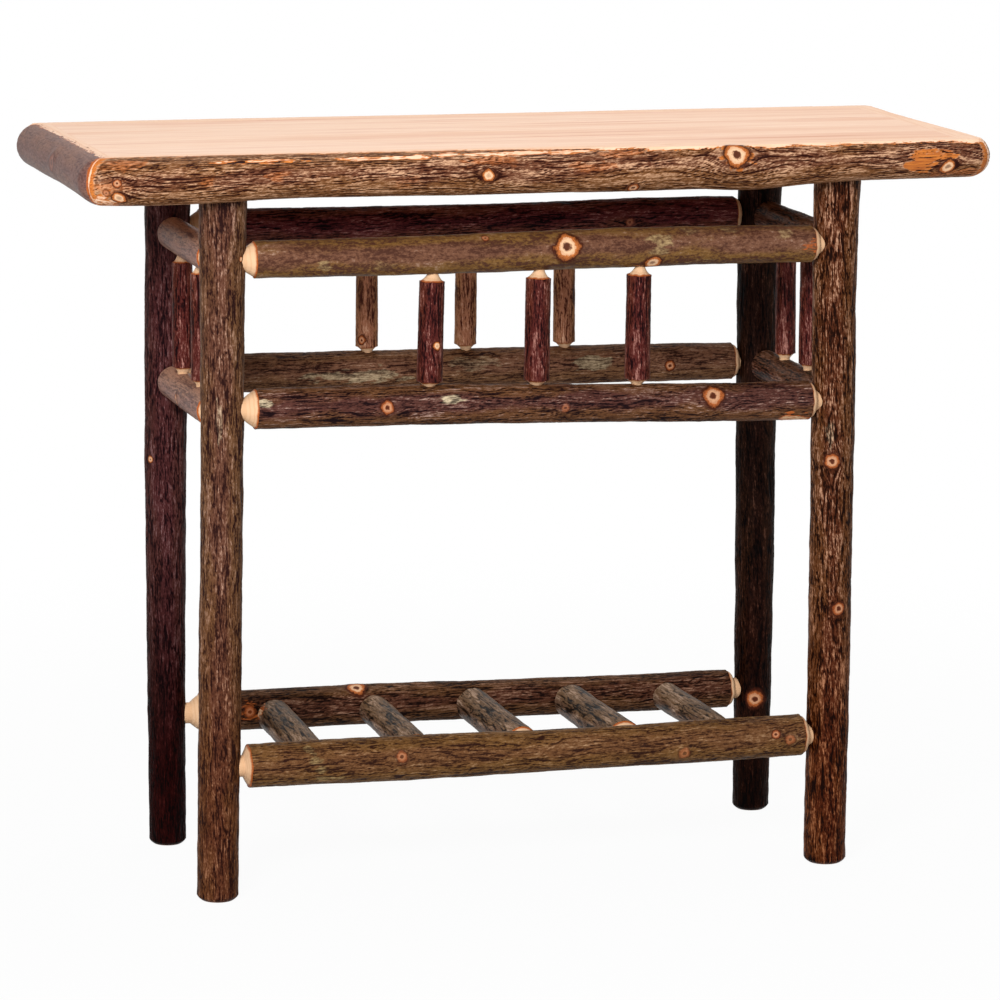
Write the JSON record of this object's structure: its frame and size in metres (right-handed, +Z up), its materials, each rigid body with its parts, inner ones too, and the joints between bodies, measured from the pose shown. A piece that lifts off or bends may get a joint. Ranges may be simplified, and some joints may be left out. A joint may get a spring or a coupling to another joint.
{
  "type": "rustic log console table",
  "caption": "Long narrow table of bark-covered poles with sharpened ends, spindles under a boarded top edged with sawn logs, and a low open rung shelf.",
  "frame": {"origin": "on the floor under the middle of the table, at the bottom centre of its bounding box", "axes": "+X along the table's length to the right as seen from the front, +Y from the front to the back, +Z up"},
  "size_m": [1.219, 0.462, 0.977],
  "materials": {
    "board_wood": "satin varnish over glued, lengthwise boards",
    "edge_bark": "ridged hickory bark, its upper border sanded to pale wood under satin varnish",
    "leg_bark": "ridged hickory bark, semi-gloss varnish",
    "rail_bark": "ridged hickory bark with pale sharpened ends, semi-gloss varnish",
    "spindle_bark": "dark furrowed bark with pale sharpened ends, semi-gloss varnish",
    "rung_bark": "smoother grey-brown bark with pale sharpened ends, semi-gloss varnish"
  },
  "bodies": {
    "root": {"leg_front_left": "leg_bark", "leg_front_right": "leg_bark", "leg_back_left": "leg_bark", "leg_back_right": "leg_bark", "back_edge_log": "edge_bark", "back_middle_rail": "rail_bark", "back_shelf_rail": "rail_bark", "back_spindle_1": "spindle_bark", "back_spindle_2": "spindle_bark", "back_spindle_3": "spindle_bark", "back_upper_rail": "rail_bark", "front_edge_log": "edge_bark", "front_middle_rail": "rail_bark", "front_shelf_rail": "rail_bark", "front_spindle_1": "spindle_bark", "front_spindle_2": "spindle_bark", "front_spindle_3": "spindle_bark", "front_upper_rail": "rail_bark", "left_edge_log": "edge_bark", "left_middle_rail": "rail_bark", "left_spindle_1": "spindle_bark", "left_spindle_2": "spindle_bark", "left_upper_rail": "rail_bark", "right_edge_log": "edge_bark", "right_middle_rail": "rail_bark", "right_spindle_1": "spindle_bark", "right_spindle_2": "spindle_bark", "right_upper_rail": "rail_bark", "shelf_rung_1": "rung_bark", "shelf_rung_2": "rung_bark", "shelf_rung_3": "rung_bark", "shelf_rung_4": "rung_bark", "shelf_rung_5": "rung_bark", "top_board_1": "board_wood", "top_board_2": "board_wood", "top_board_3": "board_wood", "top_board_4": "board_wood"}
  },
  "joints": []
}
